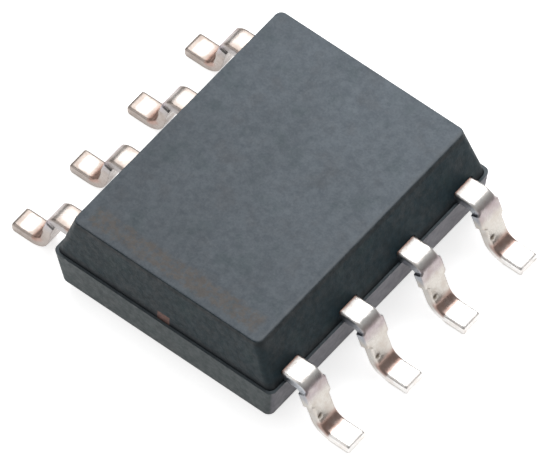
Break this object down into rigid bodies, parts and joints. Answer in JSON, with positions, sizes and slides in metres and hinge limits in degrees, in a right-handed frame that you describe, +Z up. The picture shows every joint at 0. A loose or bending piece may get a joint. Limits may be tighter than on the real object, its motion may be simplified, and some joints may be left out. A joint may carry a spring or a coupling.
{
  "type": "small-outline integrated circuit",
  "caption": "Surface-mount integrated circuit: a drafted moulded epoxy body with gull-wing leads along both long sides and an index band at one end.",
  "frame": {"origin": "middle of the seating plane that the eight feet rest on, under the middle of the body", "axes": "+X across the package from one row of leads to the other (towards leads 1 to 4), +Y along the rows away from the indexed end, +Z up from the board to the top face"},
  "size_m": [0.0062, 0.0048, 0.0017],
  "materials": {
    "moulding_compound": "matt black filled epoxy, fine grain, slightly lighter on the flat top",
    "tinned_lead": "matt tin plate over copper alloy, brownish in the bends",
    "lead_frame_copper": "bare copper alloy, shows only at the cut ends of the tie bars",
    "silver_epoxy": "silver-filled adhesive, sealed inside",
    "silicon": "polished silicon, sealed inside",
    "gold_wire": "drawn gold wire, sealed inside"
  },
  "bodies": {
    "root": {"mold_body": "moulding_compound", "die_pad": "lead_frame_copper", "die_attach": "silver_epoxy", "silicon_die": "silicon", "lead_1": "tinned_lead", "lead_2": "tinned_lead", "lead_3": "tinned_lead", "lead_4": "tinned_lead", "lead_5": "tinned_lead", "lead_6": "tinned_lead", "lead_7": "tinned_lead", "lead_8": "tinned_lead", "bond_wire_1": "gold_wire", "bond_wire_2": "gold_wire", "bond_wire_3": "gold_wire", "bond_wire_4": "gold_wire", "bond_wire_5": "gold_wire", "bond_wire_6": "gold_wire", "bond_wire_7": "gold_wire", "bond_wire_8": "gold_wire"}
  },
  "joints": []
}
